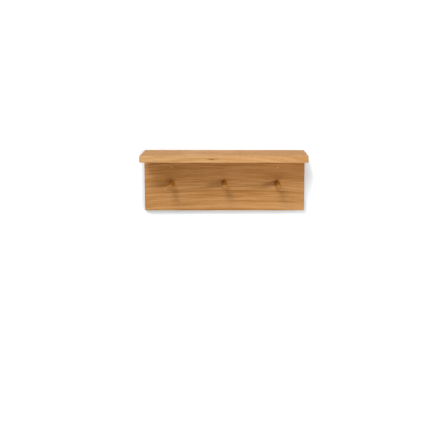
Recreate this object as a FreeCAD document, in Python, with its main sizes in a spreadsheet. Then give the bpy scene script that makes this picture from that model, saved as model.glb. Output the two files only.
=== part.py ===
import FreeCAD, Part
import os
import Sketcher

# Wall coat rack: an upright back board with three straight pegs, under a deep shelf board.
# All lengths are millimetres. The origin lies on the wall, midway between the two wall screws.
# X runs along the boards to the right of someone facing the rack, Y runs into the wall and
# Z runs up, so the rack stands out from the wall towards -Y.

SIZES = {
    # both boards are cut to one length and have their free edges eased
    "board_length": 450,
    "edge_round": 1.5,
    # back board, upright against the wall
    "back_height": 152,
    "back_thickness": 18,
    # shelf board, lying on the top edge of the back board
    "shelf_depth": 120,
    "shelf_thickness": 18,
    # pegs, turned with a thinner tenon behind the shoulder
    "peg_pitch": 148,
    "peg_below_shelf": 73,
    "peg_diameter": 16,
    "peg_reach": 75,
    "peg_end_chamfer": 1,
    "tenon_diameter": 12,
    "tenon_length": 13,
    "tenon_chamfer": 0.8,
    # fluted dowels that join the shelf to the back board
    "dowel_count": 4,
    "dowel_diameter": 8,
    "dowel_length": 35,
    "dowel_in_shelf": 12,
    "dowel_from_end": 35,
    "dowel_chamfer": 1,
    "flute_count": 8,
    "flute_diameter": 1.4,
    "flute_depth": 0.35,
    # room for glue: round a tenon or dowel, and at the bottom of its blind hole
    "fit_clearance": 0.05,
    "glue_pocket": 1,
    # countersunk wall screws, a little above the outer pegs
    "screw_spacing": 300,
    "screw_below_shelf": 28,
    "screw_length": 45,
    "screw_sink": 0.3,
    "screw_hole_diameter": 5,
    "head_diameter": 8.5,
    "head_rim": 0.4,
    "shank_diameter": 3.4,
    "thread_diameter": 4.5,
    "screw_tip_length": 5,
    # cross recess in a screw's head
    "recess_span": 4.6,
    "recess_floor_span": 1.8,
    "recess_width": 1.1,
    "recess_depth": 2.2,
}
RECESS_WINGS = 4
RIGHT_ANGLE = 90
FULL_TURN = 360

# What sketch constraints call a line's or circle's points, and the sketch's own axes and origin.
START, END, CENTRE = range(1, 4)
Y_AXIS, X_AXIS = range(-2, 0)
ORIGIN = (X_AXIS, START)

doc = FreeCAD.newDocument("WallCoatRack")
sheet = doc.addObject("Spreadsheet::Sheet", "Sizes")
for row, (alias, value) in enumerate(SIZES.items(), start=1):
    sheet.set(f"A{row}", alias)
    sheet.set(f"B{row}", str(value))
    sheet.setAlias(f"B{row}", alias)
doc.recompute()


def measure(expression):
    """What an expression on the sheet comes to now."""
    return float(sheet.evalExpression(expression))


def new_body(label):
    body = doc.addObject("PartDesign::Body", label)
    body.Label = label
    return body


def place(body, x="0", y="0", z="0"):
    """Bind where the body's own origin lies in the rack."""
    body.setExpression("Placement.Base.x", x)
    body.setExpression("Placement.Base.y", y)
    body.setExpression("Placement.Base.z", z)


def new_sketch(body, name, role, up="0", out="0"):
    """A sketch on one of the body's own planes, moved up in that plane and out along its normal."""
    sketch = body.newObject("Sketcher::SketchObject", name)
    plane = next(feature for feature in body.Origin.OriginFeatures if feature.Role == role)
    sketch.AttachmentSupport = (plane, "")
    sketch.MapMode = "FlatFace"
    sketch.setExpression("AttachmentOffset.Base.y", up)
    sketch.setExpression("AttachmentOffset.Base.z", out)
    return sketch


def bind_length(sketch, kind, *ends, length):
    """A distance or diameter in the sketch that follows an expression."""
    index = sketch.addConstraint(Sketcher.Constraint(kind, *ends, measure(length)))
    sketch.setExpression(f"Constraints[{index}]", length)


def draw_hanging_rectangle(sketch, width, height):
    """A rectangle centred on the sketch's Y axis, hanging from its X axis."""
    half = measure(width) / 2
    low = -measure(height)
    corners = [(-half, low), (half, low), (half, 0), (-half, 0)]
    points = [FreeCAD.Vector(x, y, 0) for x, y in corners]
    for start, end in zip(points, points[1:] + points[:1]):
        sketch.addGeometry(Part.LineSegment(start, end))
    bottom, right, top, left = range(4)
    for line, following in ((bottom, right), (right, top), (top, left), (left, bottom)):
        sketch.addConstraint(Sketcher.Constraint("Coincident", line, END, following, START))
    sketch.addConstraint(Sketcher.Constraint("Vertical", right))
    sketch.addConstraint(Sketcher.Constraint("Vertical", left))
    sketch.addConstraint(Sketcher.Constraint("Symmetric", bottom, START, bottom, END, Y_AXIS))
    sketch.addConstraint(Sketcher.Constraint("PointOnObject", top, START, X_AXIS))
    sketch.addConstraint(Sketcher.Constraint("PointOnObject", top, END, X_AXIS))
    bind_length(sketch, "DistanceX", bottom, START, bottom, END, length=width)
    bind_length(sketch, "DistanceY", right, START, right, END, length=height)


def draw_circle(sketch, diameter, left):
    """A circle centred on the sketch's X axis, to the left of its origin."""
    centre = FreeCAD.Vector(-measure(left), 0, 0)
    normal = FreeCAD.Vector(0, 0, 1)
    circle = sketch.addGeometry(Part.Circle(centre, normal, measure(diameter) / 2))
    sketch.addConstraint(Sketcher.Constraint("PointOnObject", circle, CENTRE, X_AXIS))
    bind_length(sketch, "DistanceX", circle, CENTRE, *ORIGIN, length=left)
    bind_length(sketch, "Diameter", circle, length=diameter)


def draw_half_profile(sketch, corners):
    """A closed outline through corners given as a distance from the axis and a height up it."""
    points = [FreeCAD.Vector(measure(across), measure(up), 0) for across, up in corners]
    for start, end in zip(points, points[1:] + points[:1]):
        sketch.addGeometry(Part.LineSegment(start, end))
    for line, (across, up) in enumerate(corners):
        previous = (line - 1) % len(corners)
        sketch.addConstraint(Sketcher.Constraint("Coincident", previous, END, line, START))
        if across == "0":
            sketch.addConstraint(Sketcher.Constraint("PointOnObject", line, START, Y_AXIS))
        else:
            bind_length(sketch, "DistanceX", *ORIGIN, line, START, length=across)
        if up == "0":
            sketch.addConstraint(Sketcher.Constraint("PointOnObject", line, START, X_AXIS))
        else:
            bind_length(sketch, "DistanceY", *ORIGIN, line, START, length=up)


def edges_where(feature, keep):
    """The feature's edges whose middle passes the test, as a fillet names them."""
    doc.recompute()
    edges = enumerate(feature.Shape.Edges, start=1)
    return (feature, [f"Edge{number}" for number, edge in edges if keep(edge.BoundBox.Center)])


def cut_blind(body, sketch, name, depth, reverse=False):
    """A blind hole from the sketch, down its normal, or up it when reversed."""
    pocket = body.newObject("PartDesign::Pocket", name)
    pocket.Profile = sketch
    pocket.Reversed = reverse
    pocket.setExpression("Length", depth)
    return pocket


def repeat_in_row(body, feature, sketch, name, length, count):
    """Copies of a feature in an even row along the sketch's X axis, the last one length away."""
    row_of_copies = body.newObject("PartDesign::LinearPattern", name)
    row_of_copies.Originals = [feature]
    row_of_copies.Direction = (sketch, ["H_Axis"])
    row_of_copies.setExpression("Length", length)
    row_of_copies.setExpression("Occurrences", count)
    body.Tip = row_of_copies


def repeat_round(body, feature, sketch, axis, name, count):
    """Copies of a feature evenly round one of the sketch's axes."""
    ring_of_copies = body.newObject("PartDesign::PolarPattern", name)
    ring_of_copies.Originals = [feature]
    ring_of_copies.Axis = (sketch, [axis])
    ring_of_copies.Angle = FULL_TURN
    ring_of_copies.setExpression("Occurrences", count)
    body.Tip = ring_of_copies


def turn(body, name, corners):
    """A round piece turned about its own Z axis from a half profile."""
    sketch = new_sketch(body, f"{name}_profile", "XZ_Plane")
    draw_half_profile(sketch, corners)
    turned = body.newObject("PartDesign::Revolution", name)
    turned.Profile = sketch
    turned.ReferenceAxis = (sketch, ["V_Axis"])
    turned.Angle = FULL_TURN
    return turned


# The dowels stand in one row, midway through the back board, from near one end to near the other.
DOWEL_ROW = "Sizes.board_length - 2 * Sizes.dowel_from_end"
DOWEL_HOLE = "Sizes.dowel_diameter + 2 * Sizes.fit_clearance"
MID_BACK = "-Sizes.back_thickness / 2"
PEGS = "3"
SCREWS = "2"


def shelf_board():
    """The shelf: its origin is at the middle of its lower rear edge, on the wall."""
    body = new_body("shelf_board")
    outline = new_sketch(body, "shelf_outline", "XY_Plane")
    draw_hanging_rectangle(outline, "Sizes.board_length", "Sizes.shelf_depth")
    blank = body.newObject("PartDesign::Pad", "shelf_blank")
    blank.Profile = outline
    blank.setExpression("Length", "Sizes.shelf_thickness")

    # every edge is eased except the four round the rear face, which stay sharp at the wall
    eased = body.newObject("PartDesign::Fillet", "shelf_eased_edges")
    eased.Base = edges_where(blank, lambda middle: middle.y < -measure("Sizes.edge_round"))
    eased.setExpression("Radius", "Sizes.edge_round")

    dowel_line = new_sketch(body, "shelf_dowel_line", "XY_Plane", up=MID_BACK)
    draw_circle(dowel_line, DOWEL_HOLE, left=f"({DOWEL_ROW}) / 2")
    depth = "Sizes.dowel_in_shelf + Sizes.glue_pocket"
    hole = cut_blind(body, dowel_line, "shelf_dowel_hole", depth, reverse=True)
    repeat_in_row(body, hole, dowel_line, "shelf_dowel_holes", DOWEL_ROW, "Sizes.dowel_count")
    place(body, z="Sizes.screw_below_shelf")
    return body


def back_board():
    """The back board: its origin is at the middle of its upper rear edge, on the wall."""
    body = new_body("back_board")
    outline = new_sketch(body, "back_outline", "XZ_Plane")
    draw_hanging_rectangle(outline, "Sizes.board_length", "Sizes.back_height")
    blank = body.newObject("PartDesign::Pad", "back_blank")
    blank.Profile = outline
    blank.setExpression("Length", "Sizes.back_thickness")

    # the edges at the wall and under the shelf stay sharp, so that the board seats flat there
    ease = measure("Sizes.edge_round")
    eased = body.newObject("PartDesign::Fillet", "back_eased_edges")
    eased.Base = edges_where(blank, lambda middle: middle.y < -ease and middle.z < -ease)
    eased.setExpression("Radius", "Sizes.edge_round")

    dowel_line = new_sketch(body, "back_dowel_line", "XY_Plane", up=MID_BACK)
    draw_circle(dowel_line, DOWEL_HOLE, left=f"({DOWEL_ROW}) / 2")
    depth = "Sizes.dowel_length - Sizes.dowel_in_shelf + Sizes.glue_pocket"
    hole = cut_blind(body, dowel_line, "back_dowel_hole", depth)
    repeat_in_row(body, hole, dowel_line, "back_dowel_holes", DOWEL_ROW, "Sizes.dowel_count")

    front = "Sizes.back_thickness"
    peg_line = new_sketch(body, "peg_line", "XZ_Plane", "-Sizes.peg_below_shelf", front)
    draw_circle(peg_line, "Sizes.tenon_diameter + 2 * Sizes.fit_clearance", left="Sizes.peg_pitch")
    bore = cut_blind(body, peg_line, "peg_bore", "Sizes.tenon_length + Sizes.glue_pocket")
    repeat_in_row(body, bore, peg_line, "peg_bores", "2 * Sizes.peg_pitch", PEGS)

    screw_line = new_sketch(body, "screw_line", "XZ_Plane", "-Sizes.screw_below_shelf", front)
    draw_circle(screw_line, "Sizes.screw_hole_diameter", left="Sizes.screw_spacing / 2")
    doc.recompute()
    seat = body.newObject("PartDesign::Hole", "screw_seat")
    seat.Profile = screw_line
    seat.DepthType = "ThroughAll"
    seat.setExpression("Diameter", "Sizes.screw_hole_diameter")
    seat.HoleCutType = "Countersink"
    seat.HoleCutCountersinkAngle = RIGHT_ANGLE
    sunk = "Sizes.screw_sink + Sizes.head_rim + Sizes.fit_clearance"
    seat.setExpression("HoleCutDiameter", f"Sizes.head_diameter + 2 * ({sunk})")
    repeat_in_row(body, seat, screw_line, "screw_seats", "Sizes.screw_spacing", SCREWS)
    place(body, z="Sizes.screw_below_shelf")
    return body


def point_at_room(body):
    """Turn a piece made standing on its Z axis so that its top points away from the wall."""
    body.Placement.Rotation = FreeCAD.Rotation(FreeCAD.Vector(1, 0, 0), RIGHT_ANGLE)


def peg(label, x):
    """A straight peg with its tenon: its origin is at the tenon's inner end, its top at the room end."""
    body = new_body(label)
    whole = "Sizes.tenon_length + Sizes.peg_reach"
    turn(body, f"{label}_turned", [
        ("0", "0"),
        ("Sizes.tenon_diameter / 2 - Sizes.tenon_chamfer", "0"),
        ("Sizes.tenon_diameter / 2", "Sizes.tenon_chamfer"),
        ("Sizes.tenon_diameter / 2", "Sizes.tenon_length"),
        ("Sizes.peg_diameter / 2", "Sizes.tenon_length"),
        ("Sizes.peg_diameter / 2", f"{whole} - Sizes.peg_end_chamfer"),
        ("Sizes.peg_diameter / 2 - Sizes.peg_end_chamfer", whole),
        ("0", whole),
    ])
    point_at_room(body)
    shoulder = "Sizes.tenon_length - Sizes.back_thickness"
    place(body, x, shoulder, "Sizes.screw_below_shelf - Sizes.peg_below_shelf")
    return body


def shelf_dowel(number):
    """A fluted dowel that stands in the back board's top edge and reaches up into the shelf."""
    label = f"shelf_dowel_{number}"
    body = new_body(label)
    turn(body, f"{label}_turned", [
        ("0", "0"),
        ("Sizes.dowel_diameter / 2 - Sizes.dowel_chamfer", "0"),
        ("Sizes.dowel_diameter / 2", "Sizes.dowel_chamfer"),
        ("Sizes.dowel_diameter / 2", "Sizes.dowel_length - Sizes.dowel_chamfer"),
        ("Sizes.dowel_diameter / 2 - Sizes.dowel_chamfer", "Sizes.dowel_length"),
        ("0", "Sizes.dowel_length"),
    ])
    end_view = new_sketch(body, f"{label}_end_view", "XY_Plane")
    centre = "(Sizes.dowel_diameter + Sizes.flute_diameter) / 2 - Sizes.flute_depth"
    draw_circle(end_view, "Sizes.flute_diameter", left=centre)
    flute = cut_blind(body, end_view, f"{label}_flute", "Sizes.dowel_length", reverse=True)
    repeat_round(body, flute, end_view, "N_Axis", f"{label}_flutes", "Sizes.flute_count")
    step = f"({DOWEL_ROW}) / (Sizes.dowel_count - 1)"
    top = "Sizes.screw_below_shelf + Sizes.dowel_in_shelf"
    place(body, f"{number - 1} * {step} - ({DOWEL_ROW}) / 2", MID_BACK, f"{top} - Sizes.dowel_length")
    return body


def wall_screw(label, x):
    """A countersunk screw: its origin is at the point, its top is the head in the back board."""
    body = new_body(label)
    head_seat = "Sizes.screw_length - Sizes.head_rim"
    wall = "Sizes.screw_length + Sizes.screw_sink - Sizes.back_thickness"
    turn(body, f"{label}_turned", [
        ("0", "0"),
        ("Sizes.thread_diameter / 2", "Sizes.screw_tip_length"),
        ("Sizes.thread_diameter / 2", wall),
        ("Sizes.shank_diameter / 2", wall),
        ("Sizes.shank_diameter / 2", f"{head_seat} - (Sizes.head_diameter - Sizes.shank_diameter) / 2"),
        ("Sizes.head_diameter / 2", head_seat),
        ("Sizes.head_diameter / 2", "Sizes.screw_length"),
        ("0", "Sizes.screw_length"),
    ])
    wing = new_sketch(body, f"{label}_recess_wing", "XZ_Plane")
    floor = "Sizes.screw_length - Sizes.recess_depth"
    draw_half_profile(wing, [
        ("0", floor),
        ("Sizes.recess_floor_span / 2", floor),
        ("Sizes.recess_span / 2", "Sizes.screw_length"),
        ("0", "Sizes.screw_length"),
    ])
    cut = cut_blind(body, wing, f"{label}_recess_cut", "Sizes.recess_width")
    cut.SideType = "Symmetric"
    repeat_round(body, cut, wing, "V_Axis", f"{label}_recess", str(RECESS_WINGS))
    point_at_room(body)
    place(body, x, "Sizes.screw_length + Sizes.screw_sink - Sizes.back_thickness")
    return body


def check(bodies):
    """Stop if anything failed to build, is empty or broken, or if a cut removed nothing."""
    for item in doc.Objects:
        if {"Invalid", "Error"} & set(item.State):
            raise RuntimeError(f"{item.Label} did not build: {item.State}")
        if item.TypeId in ("PartDesign::Pocket", "PartDesign::Hole"):
            if item.Shape.Volume >= item.BaseFeature.Shape.Volume:
                raise RuntimeError(f"{item.Label} cuts nothing")
    for body in bodies:
        if body.Shape.isNull() or not body.Shape.isValid() or len(body.Shape.Solids) != 1:
            raise RuntimeError(f"{body.Label} is not one good solid")


rack = [
    shelf_board(),
    back_board(),
    peg("left_peg", "-Sizes.peg_pitch"),
    peg("middle_peg", "0"),
    peg("right_peg", "Sizes.peg_pitch"),
    wall_screw("left_wall_screw", "-Sizes.screw_spacing / 2"),
    wall_screw("right_wall_screw", "Sizes.screw_spacing / 2"),
]
rack += [shelf_dowel(number) for number in range(1, SIZES["dowel_count"] + 1)]
doc.recompute()
check(rack)

os.makedirs("parts", exist_ok=True)
for body in rack:
    body.Shape.exportStep(f"parts/{body.Label}.step")
    box = body.Shape.BoundBox
    print(f"{body.Label}: {box.XLength:.2f} x {box.YLength:.2f} x {box.ZLength:.2f}, "
          f"from y {box.YMin:.2f} and z {box.ZMin:.2f}, {body.Shape.Volume:.0f} cubic mm")
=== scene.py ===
import math

import bmesh
import bpy
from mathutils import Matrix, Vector


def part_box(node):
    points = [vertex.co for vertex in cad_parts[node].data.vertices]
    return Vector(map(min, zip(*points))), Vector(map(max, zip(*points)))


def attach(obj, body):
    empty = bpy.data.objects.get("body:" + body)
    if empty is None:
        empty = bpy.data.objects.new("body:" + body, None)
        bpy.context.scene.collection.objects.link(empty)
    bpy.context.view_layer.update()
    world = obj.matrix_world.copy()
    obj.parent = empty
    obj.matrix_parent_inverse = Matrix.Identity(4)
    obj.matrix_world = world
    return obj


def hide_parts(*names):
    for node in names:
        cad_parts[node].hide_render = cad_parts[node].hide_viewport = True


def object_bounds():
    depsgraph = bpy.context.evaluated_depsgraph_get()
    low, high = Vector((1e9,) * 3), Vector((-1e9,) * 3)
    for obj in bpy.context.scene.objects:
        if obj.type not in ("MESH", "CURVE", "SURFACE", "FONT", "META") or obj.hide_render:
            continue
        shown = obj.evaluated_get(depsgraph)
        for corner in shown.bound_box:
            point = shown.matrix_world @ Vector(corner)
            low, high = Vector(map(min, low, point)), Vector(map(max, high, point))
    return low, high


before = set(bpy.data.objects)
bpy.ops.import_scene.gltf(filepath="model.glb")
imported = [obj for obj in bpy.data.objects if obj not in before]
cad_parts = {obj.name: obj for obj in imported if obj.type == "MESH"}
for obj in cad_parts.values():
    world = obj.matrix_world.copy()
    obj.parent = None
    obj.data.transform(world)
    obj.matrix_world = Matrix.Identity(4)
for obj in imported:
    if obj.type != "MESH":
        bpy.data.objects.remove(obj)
cad_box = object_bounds()


# The back board is the upright plank that hangs on the wall and carries everything else.
# It is planed oak with the grain lengthways, its free edges eased by hand, rubbed with oil.

# its place in the log: how far along it, and how far from its heart across and up
BACK_HEART = (4.88, -0.085, 0.215)
# the grain makes a low arch: where its crest is, and how fast it falls away from there
BACK_ARCH = (0.02, 0.14)
# strong growth rings: height at the crest, half the width, and how much darker than the rest
BACK_RINGS = (
    (-0.0665, 0.0030, 0.34),
    (-0.1110, 0.0065, -0.34),
    (-0.0350, 0.0070, -0.07),
    (-0.0930, 0.0040, -0.08),
    (0.0130, 0.0050, 0.12),
)

OAK_PALE = (0.640, 0.338, 0.134, 1)
OAK_DARK = (0.392, 0.163, 0.033, 1)
OAK_RED = (0.560, 0.250, 0.080, 1)
OAK_PORE = (0.210, 0.090, 0.022, 1)
OAK_RAY = (0.520, 0.270, 0.105, 1)
OAK_KNOT = (0.210, 0.078, 0.018, 1)
OAK_ROUGHNESS = 0.50
OAK_GLOSS = 0.025
OAK_RELIEF = 0.0003
# the rings' mean width, how often in a metre they turn from wide to narrow, and how far in rings
RING_WIDTH = 0.0058
RING_SPELLS = 45
RING_UNEVENNESS = 2.4
# how squarely a spot faces one way: up to the first it is on an eased edge, from the second on a flat
ARRIS_FACING = (0.86, 0.995)

# marks to a metre along the grain, across it and up, from the widest to the finest
WANDER_MARKS = (2.2, 9, 9)
WARM_MARKS = (3, 14, 14)
STREAK_MARKS = (1.1, 45, 45)
BAND_MARKS = (7, 150, 150)
FIBRE_MARKS = (12, 420, 420)
HAIR_MARKS = (20, 1900, 1900)
PORE_MARKS = (62, 1700, 1700)
RAY_MARKS = (110, 620, 45)

# how much darker each makes the wood at the most
SPRINGWOOD_DARK = 0.34
LATEWOOD_DARK = 0.30
STREAKS_DARK = 1.2
BANDS_DARK = 1.7
FIBRES_DARK = 1.7
HAIRS_DARK = 0.22

# how far each colour covers the tone under it
RED_COVER = 0.4
RAY_COVER = 0.35
PORE_COVER = 0.5
ARRIS_COVER = 0.22
CORE_COVER = 0.75
HALO_COVER = 0.25


class Wire:
    """An output socket of a finish's nodes, so that a finish is written as sums."""

    def __init__(self, tree, socket):
        self.tree = tree
        self.socket = socket

    def node(self, kind, settings, sockets, output=0):
        """Adds a node: first its settings, then each socket's value or link."""
        made = self.tree.nodes.new(kind)
        for name, value in settings.items():
            setattr(made, name, value)
        for name, value in sockets.items():
            if isinstance(value, Wire):
                self.tree.links.new(value.socket, made.inputs[name])
            else:
                made.inputs[name].default_value = value
        return Wire(self.tree, made.outputs[output])

    def maths(self, operation, *others):
        terms = dict(enumerate((self, *others)))
        return self.node("ShaderNodeMath", {"operation": operation}, terms)

    def __add__(self, other):
        return self.maths("ADD", other)

    def __sub__(self, other):
        return self.maths("SUBTRACT", other)

    def __rsub__(self, other):
        return self * -1 + other

    def __mul__(self, other):
        return self.maths("MULTIPLY", other)

    def __truediv__(self, other):
        return self.maths("DIVIDE", other)

    def __pow__(self, other):
        return self.maths("POWER", other)

    def __abs__(self):
        return self.maths("ABSOLUTE")

    __radd__ = __add__
    __rmul__ = __mul__

    def ease(self, low, high):
        """0 up to low, 1 from high on, with a smooth rise between them."""
        span = {"Value": self, "From Min": low, "From Max": high}
        return self.node("ShaderNodeMapRange", {"interpolation_type": "SMOOTHSTEP"}, span)

    def larger(self, other):
        return self.maths("MAXIMUM", other)

    def split(self):
        return [self.node("ShaderNodeSeparateXYZ", {}, {0: self}, axis) for axis in range(3)]

    def placed(self, *parts):
        """A place made of three parts."""
        return self.node("ShaderNodeCombineXYZ", {}, dict(enumerate(parts)))

    def moved(self, location=(0, 0, 0), turn=(0, 0, 0), scale=(1, 1, 1)):
        sockets = {"Vector": self, "Location": location, "Rotation": turn, "Scale": scale}
        return self.node("ShaderNodeMapping", {}, sockets)

    def noise(self, marks, detail=2, roughness=0.5):
        """Smooth noise about 0.5, with so many marks to a metre each way."""
        place = self.moved(scale=marks)
        sockets = {"Vector": place, "Scale": 1, "Detail": detail, "Roughness": roughness}
        return self.node("ShaderNodeTexNoise", {}, sockets)

    def between(self, first, second):
        """Two colours, blended by this mask."""
        return self.node("ShaderNodeMix", {"data_type": "RGBA"}, {0: self, 6: first, 7: second}, 2)

    def tinted(self, shade):
        """This colour times another."""
        settings = {"data_type": "RGBA", "blend_type": "MULTIPLY"}
        return self.node("ShaderNodeMix", settings, {0: 1, 6: self, 7: shade}, 2)


def start_finish(name):
    """A new finish, and its wire of the piece's own coordinates in metres."""
    finish = bpy.data.materials.new(name)
    finish.use_nodes = True
    finish.node_tree.nodes.clear()
    source = finish.node_tree.nodes.new("ShaderNodeTexCoord")
    return finish, Wire(finish.node_tree, source.outputs["Object"])


def facing(place):
    """How far the surface faces along each axis, whichever way."""
    source = place.node("ShaderNodeTexCoord", {}, {}, 1)
    return [abs(part) for part in source.split()]


def close_finish(surface, kind="ShaderNodeOutputMaterial"):
    """Ends a finish in its surface."""
    end = surface.tree.nodes.new(kind)
    surface.tree.links.new(surface.socket, end.inputs["Surface"])


def close_solid(tone, roughness, height, strength, depth, others):
    """Ends a finish of solid stuff: its relief is `depth` metres deep, and others are its other sockets."""
    bump = height.node("ShaderNodeBump", {}, {"Height": height, "Strength": strength, "Distance": depth})
    sockets = {"Base Color": tone, "Roughness": roughness, "Normal": bump, **others}
    close_finish(tone.node("ShaderNodeBsdfPrincipled", {}, sockets))


def coat(piece, finish):
    """Gives a piece one finish all over."""
    piece.data.materials.clear()
    piece.data.materials.append(finish)


def reach_from(own, middle, halves):
    """How far out a spot is from a knot's middle, where the knot's rim is at 1."""
    scale = [1 / half for half in halves]
    shrunk = own.moved([-part * size for part, size in zip(middle, scale)], scale=scale)
    return shrunk.node("ShaderNodeVectorMath", {"operation": "LENGTH"}, {0: shrunk}, 1)


def growth_rings(radius):
    """Pale and dark wood of each year's ring, and how strong that year's ring is."""
    spells = {"W": radius, "Scale": RING_SPELLS}
    unevenness = radius.node("ShaderNodeTexNoise", {"noise_dimensions": "1D"}, spells)
    rings = radius / RING_WIDTH + unevenness * RING_UNEVENNESS
    in_ring = rings.maths("FRACT")
    year = rings.maths("FLOOR")
    vigour = year.node("ShaderNodeTexWhiteNoise", {"noise_dimensions": "1D"}, {"W": year}, 0)
    springwood = in_ring.ease(0, 0.06) * (1 - in_ring.ease(0.12, 0.5))
    latewood = in_ring ** 2.5 * (1 - in_ring.ease(0.92, 1))
    return springwood, latewood, vigour * vigour


def oiled_oak(name, shades, heart, arch=None, strong_rings=(), knot=None, turned=False):
    """Oak cut at a place in its log: growth rings, rays, streaks, fibres and pores under oil.

    The shades tell how light this piece's wood is on its sides and on its ends, and on the pegs'
    sides they hold painted shade too. The arch is that of a board's grain, and a knot is its place
    and its half sizes.
    A turned piece has its grain along Y, and a board along X.
    """
    finish, own = start_finish(name)
    x, y, z = own.split()
    if turned:
        log = own.moved(heart, turn=(0, 0, math.pi / 2))
    else:
        log = own.moved(heart)
    along, across, up = log.split()

    # the rings bow along the trunk, wander a little, and part round a knot
    straight = up + (log.noise(WANDER_MARKS, 1) - 0.5) * 0.008
    bowed = straight
    if arch:
        crest, sag = arch
        bowed = bowed + (x - crest) ** 2 * sag
    if knot:
        middle, halves = knot
        reach = reach_from(own, middle, halves)
        pull = (reach * reach * -0.16).maths("EXPONENT") * 0.85
        bowed = bowed - (z - middle[2]) * pull
    radius = (across * across + bowed * bowed) ** 0.5
    springwood, latewood, vigour = growth_rings(radius)

    # the fibres bow with them on the front, and run straight on a board's top and underside
    faces = facing(own)
    front = faces[1].ease(0.2, 0.8)
    grain_place = log.placed(along, across, straight + (bowed - straight) * front)

    streaks = grain_place.noise(STREAK_MARKS, 2)
    bands = grain_place.noise(BAND_MARKS, 3, 0.6)
    fibres = grain_place.noise(FIBRE_MARKS, 3, 0.6)
    hairs = grain_place.noise(HAIR_MARKS, 1)
    dashes = grain_place.noise(PORE_MARKS, 0)
    pores = dashes.ease(0.62, 0.72) * (springwood * 0.75 + 0.25)

    # rays run out from the heart: dashes on the face, flecks on the edge, lines on the end
    angle = across.maths("ARCTAN2", bowed)
    ray_place = log.placed(along, angle, radius)
    rays = ray_place.noise(RAY_MARKS, 0).ease(0.66, 0.74)

    if turned:
        end = faces[1]
        side = (faces[0] * faces[0] + faces[2] * faces[2]) ** 0.5
        flat = end.larger(side)
    else:
        end = faces[0]
        flat = end.larger(faces[1]).larger(faces[2])
    end_grain = end.ease(0.35, 0.8)
    arris = 1 - flat.ease(*ARRIS_FACING)

    # the rings show most where the log is cut across, and the streaks where it is cut along
    drawn = (streaks - 0.5) * STREAKS_DARK + (bands - 0.5) * BANDS_DARK + (fibres - 0.5) * FIBRES_DARK
    ringed = (springwood * SPRINGWOOD_DARK + latewood * LATEWOOD_DARK) * (vigour + end_grain * 0.7)
    dark = ringed + drawn * (1 - end_grain * 0.8) + (hairs - 0.5) * HAIRS_DARK
    if strong_rings:
        level = bowed - heart[2]
        for height, half_width, depth in strong_rings:
            dark = dark + (1 - abs(level - height).ease(0, half_width)) * depth
    tone = (dark + 0.34).ease(-0.15, 1.05).between(OAK_PALE, OAK_DARK)
    warmth = log.noise(WARM_MARKS, 1).ease(0.4, 0.75)
    tone = (warmth * RED_COVER).between(tone, OAK_RED)
    tone = (rays * RAY_COVER).between(tone, OAK_RAY)
    tone = (pores * PORE_COVER).between(tone, OAK_PORE)
    tone = (arris * ARRIS_COVER).between(tone, OAK_PALE)
    tone = tone.tinted(end_grain.between(*shades))
    height = hairs * 0.35 + fibres * 0.4 - pores * 1.2 - latewood * 0.15
    if knot:
        core = (1 - reach.ease(0.5, 1.2)) * CORE_COVER
        halo = (1 - reach.ease(1, 2.6)) * HALO_COVER
        tone = core.larger(halo).between(tone, OAK_KNOT)
        height = height - core * 0.5

    roughness = pores * 0.2 + end_grain * 0.12 - latewood * 0.05 - rays * 0.05 - arris * 0.05 + OAK_ROUGHNESS
    close_solid(tone, roughness, height, 0.55, OAK_RELIEF, {"Specular IOR Level": OAK_GLOSS})
    return finish


BACK_SHADES = (1, 1, 1, 1), (0.84, 0.76, 0.68, 1)
back_oak = oiled_oak("back_oak", BACK_SHADES, BACK_HEART, BACK_ARCH, BACK_RINGS)
coat(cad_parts["back_board"], back_oak)


# The pegs are turned from straight-grained oak, so their fibres run from the wall to the end.
# Each is glued by its thinner tenon into a bore in the back board, up to its shoulder.
# the pegs' sides are painted darker than the boards' oak: painted shade, standing for the shade under the
# shelf; their ends are only a little darker, as end grain is
PEG_TONES_AND_PAINTED_SHADE = (0.66, 0.60, 0.25, 1), (0.80, 0.77, 0.72, 1)
for name, heart in (
    ("left_peg", (0.3, 0.22, 0.05)),
    ("middle_peg", (0.7, -0.11, 0.09)),
    ("right_peg", (1.1, -0.05, -0.01)),
):
    coat(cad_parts[name], oiled_oak(f"{name}_oak", PEG_TONES_AND_PAINTED_SHADE, heart, turned=True))


# The dowels are fluted beech pins, glued into the back board's top edge and up into the shelf.
# Bare, dry beech: pale, fine-grained, and out of sight once the rack is put together.
BEECH_PALE = (0.61, 0.39, 0.22, 1)
BEECH_DARK = (0.42, 0.24, 0.12, 1)
BEECH_RELIEF = 0.0002
# marks to a metre each way: a dowel's grain runs upwards
BEECH_FIBRES = (700, 700, 12)
BEECH_FLECKS = (500, 500, 60)


def bare_beech(name):
    finish, own = start_finish(name)
    fibres = own.noise(BEECH_FIBRES, 3)
    flecks = own.noise(BEECH_FLECKS, 0).ease(0.62, 0.7)
    tone = (fibres.ease(0.3, 0.7) * 0.7 + flecks * 0.3).between(BEECH_PALE, BEECH_DARK)
    roughness = fibres * 0.15 + 0.6
    close_solid(tone, roughness, fibres, 0.4, BEECH_RELIEF, {"Specular IOR Level": 0.3})
    return finish


beech = bare_beech("dowel_beech")
for name in ("shelf_dowel_1", "shelf_dowel_2", "shelf_dowel_3", "shelf_dowel_4"):
    coat(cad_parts[name], beech)


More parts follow.
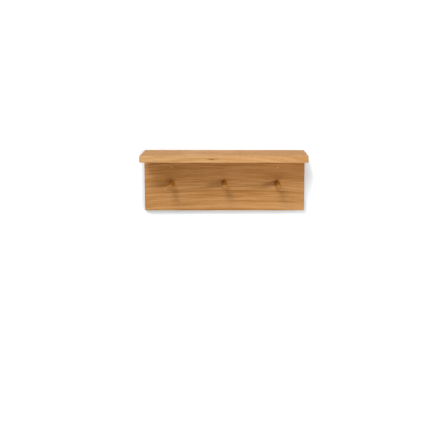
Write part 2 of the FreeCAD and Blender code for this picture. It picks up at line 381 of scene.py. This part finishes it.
# The shelf is a wide oak plank laid on the back board's top edge, glued over the dowels.
# Its rear edge stays sharp against the wall, and every other edge is eased and oiled.
# Its grain runs out along the front edge, where a small knot shows left of the middle.
SHELF_HEART = (15.53, 0.16, 0.14)
SHELF_ARCH = (-0.05, 0.42)
SHELF_RINGS = (
    (0.0330, 0.0022, -0.34),
    (0.0392, 0.0016, 0.16),
    (0.0430, 0.0018, -0.22),
    (0.0475, 0.0016, -0.26),
)
KNOT_PLACE = (-0.0326, -0.120, 0.0368)
KNOT_HALVES = (0.0095, 0.0090, 0.0017)
SHELF_SHADES = (1.18, 1.28, 1.46, 1), (0.95, 0.92, 0.95, 1)
knot = (KNOT_PLACE, KNOT_HALVES)
shelf_oak = oiled_oak("shelf_oak", SHELF_SHADES, SHELF_HEART, SHELF_ARCH, SHELF_RINGS, knot)
coat(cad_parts["shelf_board"], shelf_oak)


# Two countersunk wood screws, plated to look like old brass, hold the back board to the wall.
# Their heads, each with a cross recess, sit in countersunk seats a little above the outer pegs.
# The thread is rolled on the part that goes into the wall plug, and fades out at the point.
BRASS_WORN = (0.68, 0.39, 0.130, 1)
BRASS_DULL = (0.50, 0.26, 0.080, 1)
BRASS_SCRATCHES = 0.00005
# the thread's rise in one turn, its core's radius, the width of its edge and half that of its foot
THREAD_PITCH = 0.0022
THREAD_CORE = 0.00155
THREAD_CREST = 0.0001
THREAD_FOOT = 0.0007
# it starts at this share of the core's radius, so that it is rooted in the core
THREAD_ROOT = 0.9
THREAD_STEPS = 24
POINT_LENGTH = 0.005
SMOOTH_ANGLE = math.radians(35)


def dull_brass(name):
    finish, own = start_finish(name)
    clouds = own.noise((420, 420, 420), 3)
    scratches = own.noise((3000, 3000, 3000), 1)
    tone = clouds.ease(0.35, 0.7).between(BRASS_WORN, BRASS_DULL)
    roughness = clouds * 0.25 + 0.42
    close_solid(tone, roughness, scratches, 0.3, BRASS_SCRATCHES, {"Metallic": 0.6})
    return finish


def new_piece(name, mesh, finish):
    """Turns a finished bmesh into a piece with its place in its mesh."""
    data = bpy.data.meshes.new(name)
    mesh.to_mesh(data)
    mesh.free()
    piece = bpy.data.objects.new(name, data)
    bpy.context.scene.collection.objects.link(piece)
    coat(piece, finish)
    return piece


def close_rims(mesh):
    """Closes each open rim with one face."""
    rims = [edge for edge in mesh.edges if edge.is_boundary]
    bmesh.ops.holes_fill(mesh, edges=rims, sides=0)


def plain_end_radius(node, middle):
    """How far the plain end of the screw stands out from its axis."""
    behind = [vert.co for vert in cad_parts[node].data.vertices if vert.co.y > 0]
    return max(math.hypot(co.x - middle.x, co.z - middle.z) for co in behind)


def head_and_shank(node):
    """The screw as it is, cut off square where its plain end begins."""
    screw = bmesh.new()
    screw.from_mesh(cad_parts[node].data)
    bmesh.ops.remove_doubles(screw, verts=screw.verts, dist=1e-6)
    everything = screw.verts[:] + screw.edges[:] + screw.faces[:]
    wall_face = {"plane_co": (0, -THREAD_FOOT, 0), "plane_no": (0, 1, 0)}
    bmesh.ops.bisect_plane(screw, geom=everything, clear_outer=True, **wall_face)
    close_rims(screw)
    return screw


def pointed_core(middle, tip):
    """The round core that the thread winds about, turned from half its outline."""
    core = bmesh.new()
    start = -2 * THREAD_FOOT
    outline = ((0, start), (THREAD_CORE, start), (THREAD_CORE, tip - POINT_LENGTH), (0, tip))
    chain = [core.verts.new(middle + Vector((0, depth, out))) for out, depth in outline]
    for pair in zip(chain, chain[1:]):
        core.edges.new(pair)
    whole = {"cent": middle, "axis": (0, 1, 0), "angle": math.tau, "steps": THREAD_STEPS, "use_merge": True}
    bmesh.ops.spin(core, geom=core.verts[:] + core.edges[:], **whole)
    bmesh.ops.remove_doubles(core, verts=core.verts, dist=1e-6)
    return core


def wound_thread(middle, tip, ridge):
    """A right-handed thread out to the ridge, which rises from the shank and fades at the point."""
    thread = bmesh.new()
    crest = THREAD_CREST / 2
    root = THREAD_CORE * THREAD_ROOT
    outline = ((root, -THREAD_FOOT), (ridge, -crest), (ridge, crest), (root, THREAD_FOOT))
    corners = [thread.verts.new(middle + Vector((0, THREAD_FOOT + depth, out))) for out, depth in outline]
    for pair in zip(corners, corners[1:] + corners[:1]):
        thread.edges.new(pair)
    steps = int((tip - 2 * THREAD_FOOT) / THREAD_PITCH * THREAD_STEPS)
    winding = {"angle": math.tau * steps / THREAD_STEPS, "steps": steps, "use_merge": False}
    winding["dvec"] = (0, THREAD_PITCH / THREAD_STEPS, 0)
    bmesh.ops.spin(thread, geom=thread.verts[:] + thread.edges[:], cent=middle, axis=(0, 1, 0), **winding)
    close_rims(thread)
    for vert in thread.verts:
        taper = min(1, (tip - vert.co.y) / POINT_LENGTH, (vert.co.y + THREAD_FOOT) / THREAD_PITCH)
        vert.co.x = middle.x + (vert.co.x - middle.x) * max(taper, 0)
        vert.co.z = middle.z + (vert.co.z - middle.z) * max(taper, 0)
    return thread


def threaded_screw(name, node, finish):
    """The screw's head and shank, with a threaded end in place of its plain one."""
    low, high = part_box(node)
    middle = (low + high) / 2
    middle.y = 0
    screw = head_and_shank(node)
    core = pointed_core(middle, high.y)
    thread = wound_thread(middle, high.y, plain_end_radius(node, middle))
    for part in (core, thread):
        bmesh.ops.recalc_face_normals(part, faces=part.faces)
        joined = bpy.data.meshes.new("part")
        part.to_mesh(joined)
        part.free()
        screw.from_mesh(joined)
        bpy.data.meshes.remove(joined)
    for face in screw.faces:
        face.smooth = True
    for edge in screw.edges:
        edge.smooth = edge.calc_face_angle(0) < SMOOTH_ANGLE
    piece = new_piece(name, screw, finish)
    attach(piece, "root")
    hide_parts(node)
    return piece


brass = dull_brass("screw_brass")
threaded_screw("left_threaded_screw", "left_wall_screw", brass)
threaded_screw("right_threaded_screw", "right_wall_screw", brass)


# The wall is smooth white plaster with an opening that the rack covers, and the floor is white
# too. Neither is part of the rack. The camera sees both whiter than they are, most of all away from
# the rack, and close round the rack it sees a painted shadow on them. It sees through the wall from
# behind, and through both where they are far off.
WALL_REACH = 3.0
FLOOR_DEPTH = 1.3
PLASTER = (0.86, 0.86, 0.86, 1)
# the painted shadow's tone, greyer and a little blue, and the white further off
PLASTER_PAINTED_SHADOW = (0.920, 1.035, 1.13, 1)
PLASTER_FAR = (1.50, 1.50, 1.50, 1)
# the painted shadow lies round the rack, a little to its right and low, and turns to the far tone
# between these distances from the rack's outline
PAINTED_SHADOW_SHIFT = Vector((0.010, 0, -0.003))
PAINTED_SHADOW_EDGE = (-0.008, 0.042)
# the distances from the origin between which the camera loses sight of wall and floor
SIGHT_EDGE = (1.3, 2.4)
low, high = cad_box


def plaster(name):
    finish, own = start_finish(name)
    x, y, z = own.split()
    middle = (low + high) / 2 + PAINTED_SHADOW_SHIFT
    half = (high - low) / 2
    # the camera sees a painted shadow round the rack: the near tone close to it, white further off
    away = (abs(x - middle.x) - half.x).larger(abs(z - middle.z) - half.z)
    seen_tone_with_painted_shadow = away.ease(*PAINTED_SHADOW_EDGE).between(PLASTER_PAINTED_SHADOW, PLASTER_FAR)
    seen = own.node("ShaderNodeLightPath", {}, {}, 0)
    solid = seen.node("ShaderNodeBsdfDiffuse", {}, {"Color": seen.between(PLASTER, seen_tone_with_painted_shadow)})
    clear = own.node("ShaderNodeBsdfTransparent", {}, {})
    behind = own.node("ShaderNodeNewGeometry", {}, {}, "Backfacing")
    far = (x * x + y * y + z * z) ** 0.5
    through = behind.larger(far.ease(*SIGHT_EDGE)) * seen
    close_finish(seen.node("ShaderNodeMixShader", {}, {0: through, 1: solid, 2: clear}))
    return finish


wall = bmesh.new()
corners = [
    wall.verts.new((x, 0, z))
    for x, z in ((low.x, low.z), (high.x, low.z), (high.x, high.z), (low.x, high.z))
]
rim = [wall.edges.new(pair) for pair in zip(corners, corners[1:] + corners[:1])]
outer = bmesh.ops.extrude_edge_only(wall, edges=rim)["geom"]
for vert in (item for item in outer if isinstance(item, bmesh.types.BMVert)):
    vert.co += Vector((math.copysign(WALL_REACH, vert.co.x), 0, math.copysign(WALL_REACH, vert.co.z)))
bmesh.ops.recalc_face_normals(wall, faces=wall.faces)
bmesh.ops.reverse_faces(wall, faces=[face for face in wall.faces if face.normal.y > 0])
plaster_white = plaster("white_plaster")
new_piece("wall", wall, plaster_white)

floor = bmesh.new()
bmesh.ops.create_grid(floor, x_segments=1, y_segments=1, size=2 * WALL_REACH)
bmesh.ops.translate(floor, verts=floor.verts, vec=(0, 0, -FLOOR_DEPTH))
new_piece("floor", floor, plaster_white)


# Soft studio light: three lamps high on the left, a small low one on the right, one that rakes
# along the wall from the far right, and a wide warm one from below in front. The surroundings
# are pale and fill in the shade, and one more lamp lights the back.
AIM = Vector((0, -0.02, -0.03))


def soft_lamp(name, azimuth, elevation, distance, radius, power, tint=(1, 1, 1)):
    """A round lamp that faces the rack; azimuth is to the left of someone facing it, in degrees."""
    data = bpy.data.lights.new(name, "AREA")
    data.shape = "DISK"
    data.size = 2 * radius
    data.energy = power
    data.color = tint
    lamp = bpy.data.objects.new(name, data)
    bpy.context.scene.collection.objects.link(lamp)
    side, rise = math.radians(azimuth), math.radians(elevation)
    away = Vector((-math.sin(side) * math.cos(rise), -math.cos(side) * math.cos(rise), math.sin(rise)))
    lamp.location = AIM + away * distance
    lamp.rotation_mode = "QUATERNION"
    lamp.rotation_quaternion = away.to_track_quat("Z", "Y")


soft_lamp("high_lamp", 27, 48, 3.0, 0.42, 15)
soft_lamp("key_lamp", 14, 35, 3.0, 0.58, 31)
soft_lamp("left_lamp", 44, 36, 3.0, 0.35, 8.5)
soft_lamp("right_lamp", -30, 4.5, 2.5, 0.27, 14.5)
soft_lamp("raking_lamp", -75, 6, 2.5, 0.35, 22)
soft_lamp("low_lamp", -8, -8, 3.0, 1.2, 5.5, (1, 0.87, 0.55))
soft_lamp("back_lamp", 165, 25, 2.6, 0.8, 36)

# how bright the surroundings are for the wood and for its shine; the camera sees them white
AMBIENT = 0.07
REFLECTED = 0.3
world = bpy.data.worlds.new("studio")
bpy.context.scene.world = world
world.use_nodes = True
world.node_tree.nodes.clear()
seen = Wire(world.node_tree, world.node_tree.nodes.new("ShaderNodeLightPath").outputs[0])
glossy = seen.node("ShaderNodeLightPath", {}, {}, "Is Glossy Ray")
strength = seen * (1 - AMBIENT) + glossy * (REFLECTED - AMBIENT) + AMBIENT
sky = seen.node("ShaderNodeBackground", {}, {"Color": (1, 1, 1, 1), "Strength": strength})
close_finish(sky, "ShaderNodeOutputWorld")


# The camera stands a little above the shelf and right of the middle, tipped slightly down.
CAMERA_PLACE = (0.030, -1.906, 0.301)
CAMERA_TIP = math.radians(7.81)
LENS_PIXELS = 681
FRAME_PIXELS = 448
CAMERA_SHIFT = (-0.0249, -0.16)
camera_data = bpy.data.cameras.new("camera")
camera_data.lens = camera_data.sensor_width * LENS_PIXELS / FRAME_PIXELS
camera_data.shift_x, camera_data.shift_y = CAMERA_SHIFT
camera = bpy.data.objects.new("camera", camera_data)
camera.location = CAMERA_PLACE
camera.rotation_euler = (math.pi / 2 - CAMERA_TIP, 0, 0)
bpy.context.scene.collection.objects.link(camera)
bpy.context.scene.camera = camera
bpy.context.scene.view_settings.view_transform = "Standard"
